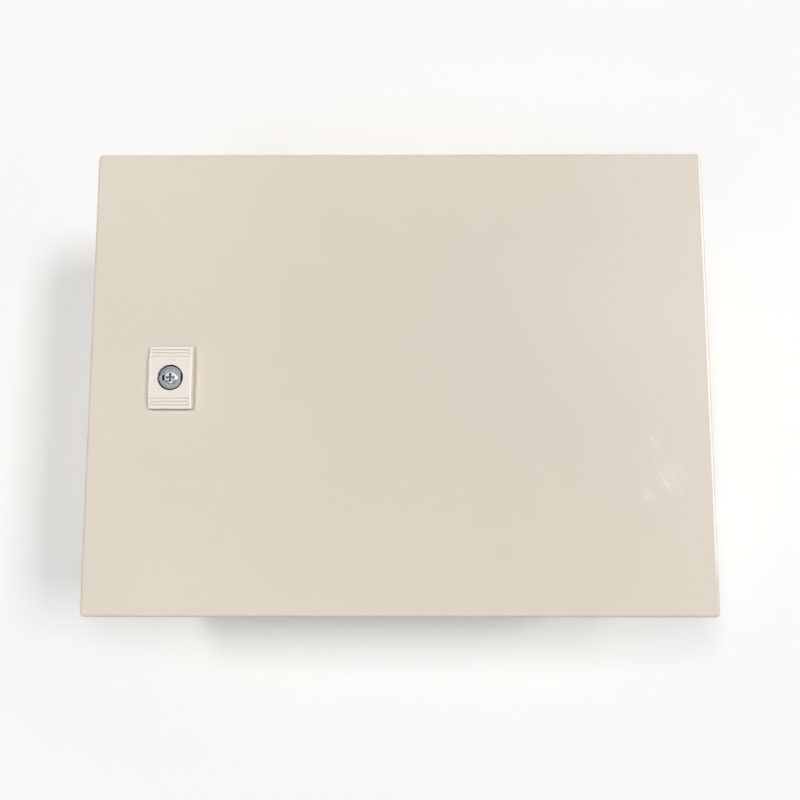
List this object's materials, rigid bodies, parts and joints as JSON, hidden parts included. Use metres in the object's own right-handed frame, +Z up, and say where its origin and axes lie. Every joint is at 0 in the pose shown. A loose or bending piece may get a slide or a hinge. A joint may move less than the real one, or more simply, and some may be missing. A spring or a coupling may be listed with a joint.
{
  "type": "steel wall enclosure",
  "caption": "Beige powder-coated steel wall enclosure with a folded door on concealed hinges, a quarter-turn lock, a mounting plate and a cable-entry plate.",
  "frame": {"origin": "centre of the four wall-fixing holes, on the outer back face", "axes": "+X to the viewer's right across the width, +Y into the wall, +Z up; the door faces -Y and its hinges are on the +X side"},
  "size_m": [0.4, 0.155, 0.3],
  "materials": {
    "powder_coat": "textured beige powder coat, low sheen",
    "galvanised_steel": "hot-dip galvanised with a faint spangle",
    "coppered_stud": "copper-flashed weld stud",
    "zinc_plated_steel": "bright zinc plate with a bluish passivation",
    "die_cast_zinc": "die-cast zinc, satin",
    "cream_plastic": "moulded polyamide, satin",
    "black_plastic": "moulded polyamide, matt",
    "foam_seal": "closed-cell polyurethane foam strip",
    "black_rubber": "moulded rubber"
  },
  "bodies": {
    "enclosure": {"body_wrap": "powder_coat", "front_rim": "powder_coat", "back_panel": "powder_coat", "mounting_plate": "galvanised_steel", "plate_studs": "coppered_stud", "plate_spacers": "black_plastic", "plate_washers": "zinc_plated_steel", "plate_nuts": "zinc_plated_steel", "gland_plate": "galvanised_steel", "gland_plate_gasket": "black_rubber", "gland_plate_studs": "coppered_stud", "gland_plate_nuts": "zinc_plated_steel", "body_earth_stud": "coppered_stud", "body_earth_washer": "zinc_plated_steel", "body_earth_nut": "zinc_plated_steel", "upper_hinge_bracket": "die_cast_zinc", "lower_hinge_bracket": "die_cast_zinc", "upper_hinge_pin": "zinc_plated_steel", "lower_hinge_pin": "zinc_plated_steel", "hinge_screws": "zinc_plated_steel"},
    "door": {"door_panel": "powder_coat", "door_gasket": "foam_seal", "upper_hinge_leaf": "die_cast_zinc", "lower_hinge_leaf": "die_cast_zinc", "door_earth_stud": "coppered_stud", "door_earth_washer": "zinc_plated_steel", "door_earth_nut": "zinc_plated_steel", "lock_plate": "cream_plastic", "lock_plate_screws": "zinc_plated_steel", "lock_seal": "black_rubber", "lock_housing": "die_cast_zinc", "lock_nut": "zinc_plated_steel"},
    "lock": {"lock_rotor": "die_cast_zinc", "lock_drive_screw": "zinc_plated_steel", "lock_cam": "zinc_plated_steel", "cam_washer": "zinc_plated_steel", "cam_nut": "zinc_plated_steel"}
  },
  "joints": [
    {"name": "door_swing", "type": "hinge", "parent": "enclosure", "child": "door", "pos_m": [0.1935, -0.14, 0], "axis": [0, 0, 1], "range_deg": [0, 120]},
    {"name": "lock_turn", "type": "hinge", "parent": "door", "child": "lock", "pos_m": [-0.1455, -0.14, 0], "axis": [0, 1, 0], "range_deg": [0, 90]}
  ]
}
